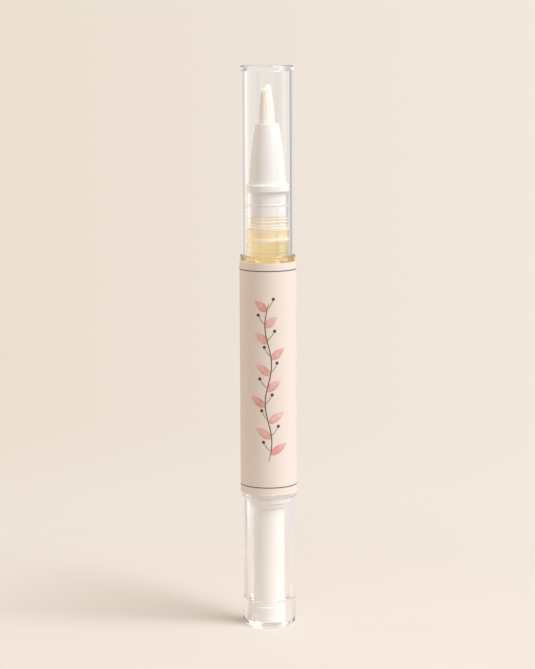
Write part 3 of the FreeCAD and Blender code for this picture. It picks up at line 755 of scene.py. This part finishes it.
def brush_tuft(name):
    """Filaments as thin tubes with closed ends. Roots fill a disc by the sunflower rule: the nth lies at
    the root of n over the count, turned n golden angles. Each filament's axis runs from its root to its
    end, and its way aside grows with its step to the bend's power. Ends close in to an upright wedge. The
    trim drops by the slope to the left of its peak and by the square of a seeded chance, and a second
    seeded chance spreads the ends a little. Tubes thin out with the cube of their step."""
    number = np.arange(filaments)
    share = np.sqrt((number + 0.5) / filaments)
    turn = number * np.pi * (3 - np.sqrt(5))
    root_across = tuft_radius * share * np.cos(turn)
    root_deep = tuft_radius * share * np.sin(turn)
    end_across = (root_across + tuft_radius) / (2 * tuft_radius) * tuft_width - tuft_lean
    end_deep = root_deep * wedge_share
    chance = np.random.default_rng(7)
    short = trim_spread * chance.random(filaments) ** 2
    end_across = end_across + end_spread * (chance.random(filaments) - 0.5)
    end_up = tuft_top - np.maximum(tuft_width - tuft_lean - end_across, 0) * trim_slope - short
    step = np.linspace(0, 1, 9)[None, :, None]
    side = np.linspace(0, 2 * np.pi, 6, endpoint=False)[None, None, :]
    thick = filament_radius * np.sqrt(np.clip(1 - step ** 3, 0, 1)) * np.where(step > 0, 1, 0)
    bend = step ** bend_power
    across = root_across[:, None, None] * (1 - bend) + end_across[:, None, None] * bend + thick * np.cos(side)
    deep = root_deep[:, None, None] * (1 - bend) + end_deep[:, None, None] * bend + thick * np.sin(side)
    up = root_up + (end_up[:, None, None] - root_up) * step + 0 * side
    return grid_piece(name, MM * np.stack([across, deep, up], axis=-1), wrap_rows=False)


# Ivory nylon filament, drawn: smooth and slightly see-through, so the tuft glows softly, with streaks.
strand_size = 0.4 * MM
nylon, tree, output = new_material("ivory_nylon_filament")
place = add_node(tree, "TexCoord", {})
strand = add_node(tree, "TexNoise", {
    "Vector": place.outputs["Object"],
    "Scale": 1 / strand_size,
    "Detail": 1.0,
})
ivory = add_node(tree, "Mix", {
    0: strand.outputs["Fac"],
    6: linear("#FCF9F3"),
    7: linear("#FEFDFB"),
}, data_type="RGBA")
hair = add_node(tree, "BsdfPrincipled", {"Base Color": ivory.outputs[2], "Roughness": 0.4, "IOR": 1.53})
glow = add_node(tree, "BsdfTranslucent", {"Color": ivory.outputs[2]})
filament = add_node(tree, "MixShader", {0: 0.25, 1: hair.outputs["BSDF"], 2: glow.outputs["BSDF"]})
let_light_through(tree, filament.outputs["Shader"], output, linear("#E2E1DE"), dull=False)
dress(brush_tuft("tuft_filaments"), nylon, "bristle_nylon", "barrel", "bristles")

# Cap
# The push-on cover of the brush: one clear PETG moulding with a straight bore and a flat closed top with a
# softened edge. It slips over the neck's bead and stands on the barrel's shoulder.
cap_top, cap_radius = extent("cap")[1:]
cap_bore = cap_radius - 0.9
ceiling = cap_top - 1.15
cap_seat = shoulder - 0.01
cap_cover = lathe("cap_cover", rounded([
    (cap_bore, cap_seat, 0.02),
    (cap_radius, cap_seat, 0.05),
    (cap_radius, cap_top, 0.45),
    (0, cap_top, 0),
    (0, ceiling, 0),
    (cap_bore, ceiling, 0.12),
]))
dress(cap_cover, clear_petg, "clear_plastic", "cap", "cap")

# Floor
# What the pen stands on: a plain sweep of pale card, laid as a wide disc just under the foot. It fades
# into the background with distance.
floor_gap = 0.05
floor_reach = 2500
fade_from = 30 * MM
fade_to = 150 * MM
angle = np.linspace(0, 2 * np.pi, 64, endpoint=False)
across = np.array([floor_reach, 0])[:, None]
disc = np.stack([across * np.cos(angle), across * np.sin(angle), -floor_gap + 0 * across * angle], axis=-1)
floor = grid_piece("floor", MM * disc, wrap_rows=False)

# Matt card: pale beige, with the pen's soft shadow.
studio_card, tree, output = new_material("matt_card")
place = add_node(tree, "TexCoord", {})
far = add_node(tree, "VectorMath", {0: place.outputs["Object"]}, operation="LENGTH")
fade = add_node(tree, "MapRange", {
    "Value": far.outputs["Value"],
    "From Min": fade_from,
    "From Max": fade_to,
}, interpolation_type="SMOOTHSTEP")
card = add_node(tree, "BsdfPrincipled", {"Base Color": linear("#E9E1DB"), "Roughness": 0.8})
nothing = add_node(tree, "BsdfTransparent", {})
blend = add_node(tree, "MixShader", {
    0: fade.outputs["Result"],
    1: card.outputs["BSDF"],
    2: nothing.outputs["BSDF"],
})
tree.links.new(blend.outputs["Shader"], output.inputs["Surface"])
floor.data.materials.append(studio_card)

# Light
# Soft studio light: a warm even room, one large softbox high to the right of the camera, and a weak white
# card at the left.
world = bpy.data.worlds.new("studio")
bpy.context.scene.world = world
world.use_nodes = True
tree = world.node_tree
tree.nodes.clear()
output = add_node(tree, "OutputWorld", {})
direction = add_node(tree, "TexCoord", {})
parts = add_node(tree, "SeparateXYZ", {"Vector": direction.outputs["Generated"]})
room = add_node(tree, "Background", {"Color": linear("#FFEEDC"), "Strength": 0.54})

# What gloss and clear plastic show of the room: pale at the left and above, cream behind, and a beige flat
# at the far left and a grey one at the right, which give the cap its dark lines. The grey one ends above
# the floor.
across = add_node(tree, "MapRange", {"Value": parts.outputs["X"], "From Min": -1.0})
limit = add_node(tree, "MapRange", {
    "Value": parts.outputs["Z"],
    "From Min": -0.145,
    "From Max": -0.115,
    "To Min": 0.76,
})
facing = add_node(tree, "Math", {
    0: across.outputs["Result"],
    1: limit.outputs["Result"],
}, operation="MINIMUM")
sides = add_node(tree, "ValToRGB", {"Fac": facing.outputs[0]})
ramp = sides.color_ramp
ramp.elements[0].position = 0.08
ramp.elements[0].color = linear("#EDE6E0")
ramp.elements[1].position = 0.95
ramp.elements[1].color = linear("#F1EDE8")
flats = ((0.13, "#CFC4B8"), (0.22, "#CFC4B8"), (0.27, "#F7F3EF"), (0.34, "#F7F3EF"), (0.38, "#EBE3DB"),
         (0.77, "#EDE6E0"), (0.83, "#A7A7AB"), (0.88, "#A7A7AB"))
for position, shade in flats:
    stop = ramp.elements.new(position)
    stop.color = linear(shade)
upward = add_node(tree, "MapRange", {
    "Value": parts.outputs["Z"],
    "From Min": 0.03,
    "From Max": 0.25,
}, interpolation_type="SMOOTHSTEP")
overhead = add_node(tree, "Mix", {
    0: upward.outputs["Result"],
    6: sides.outputs["Color"],
    7: linear("#F5EFE9"),
}, data_type="RGBA")
mirrored = add_node(tree, "Background", {"Color": overhead.outputs[2], "Strength": 1.0})

# The backdrop itself: cream, with painted shade that makes it a little darker at the left, away from the
# softbox, and painted light that makes it paler below, where the sweep meets the floor.
wall_share = add_node(tree, "MapRange", {"Value": parts.outputs["X"], "From Min": -0.15, "From Max": 0.15})
wall = add_node(tree, "Mix", {
    0: wall_share.outputs["Result"],
    6: linear("#EADDCF"),
    7: linear("#F3EADF"),
}, data_type="RGBA")
downward = add_node(tree, "MapRange", {"Value": parts.outputs["Z"], "From Min": -0.18, "From Max": -0.27})
sweep = add_node(tree, "Mix", {
    0: downward.outputs["Result"],
    6: wall.outputs[2],
    7: linear("#F5ECE1"),
}, data_type="RGBA")
backdrop = add_node(tree, "Background", {"Color": sweep.outputs[2], "Strength": 1.0})
path = add_node(tree, "LightPath", {})
in_plastic = add_node(tree, "Math", {
    0: path.outputs["Is Glossy Ray"],
    1: path.outputs["Is Transmission Ray"],
}, operation="ADD", use_clamp=True)
lit = add_node(tree, "MixShader", {
    0: in_plastic.outputs[0],
    1: room.outputs["Background"],
    2: mirrored.outputs["Background"],
})
shown = add_node(tree, "MixShader", {
    0: path.outputs["Is Camera Ray"],
    1: lit.outputs["Shader"],
    2: backdrop.outputs["Background"],
})
tree.links.new(shown.outputs["Shader"], output.inputs["Surface"])


def add_softbox(name, width, height, power, colour, around, elevation, distance):
    """Area lamp turned to the pen's middle, at a way round from the front towards the right and an
    elevation in degrees, and a distance in metres."""
    lamp = bpy.data.lights.new(name, "AREA")
    lamp.shape = "RECTANGLE"
    lamp.size = width
    lamp.size_y = height
    lamp.energy = power
    lamp.color = linear(colour)[:3]
    holder = bpy.data.objects.new(name, lamp)
    turn = math.radians(around)
    tilt = math.radians(elevation)
    level = distance * math.cos(tilt)
    holder.location = (
        level * math.sin(turn),
        -level * math.cos(turn),
        (knob_low + cap_top) / 2 * MM + distance * math.sin(tilt),
    )
    holder.rotation_euler = (math.pi / 2 - tilt, 0, turn)
    bpy.context.scene.collection.objects.link(holder)


add_softbox("softbox", width=0.7, height=0.8, power=13.2, colour="#F6FBFF",
            around=61, elevation=46, distance=1.2)
add_softbox("fill_card", width=0.3, height=0.5, power=0.4, colour="#FFF2E4",
            around=-105, elevation=10, distance=0.5)

# Camera
# A long lens half a metre in front of the pen and a little above it, tipped down and a quarter of a degree
# off level. Enough bounces are allowed for light to pass all the clear walls.
camera = bpy.data.cameras.new("camera")
camera.lens = 124.73
camera.sensor_width = 36
camera_object = bpy.data.objects.new("camera", camera)
camera_object.location = (0.17 * MM, -499.3 * MM, 136.6 * MM)
camera_object.rotation_euler = (math.radians(81.8), math.radians(0.25), 0)
bpy.context.scene.collection.objects.link(camera_object)
bpy.context.scene.camera = camera_object
bpy.context.scene.view_settings.view_transform = "Standard"
bpy.context.scene.cycles.max_bounces = 32
bpy.context.scene.cycles.diffuse_bounces = 8
bpy.context.scene.cycles.glossy_bounces = 24
bpy.context.scene.cycles.transmission_bounces = 24
bpy.context.scene.cycles.transparent_max_bounces = 32
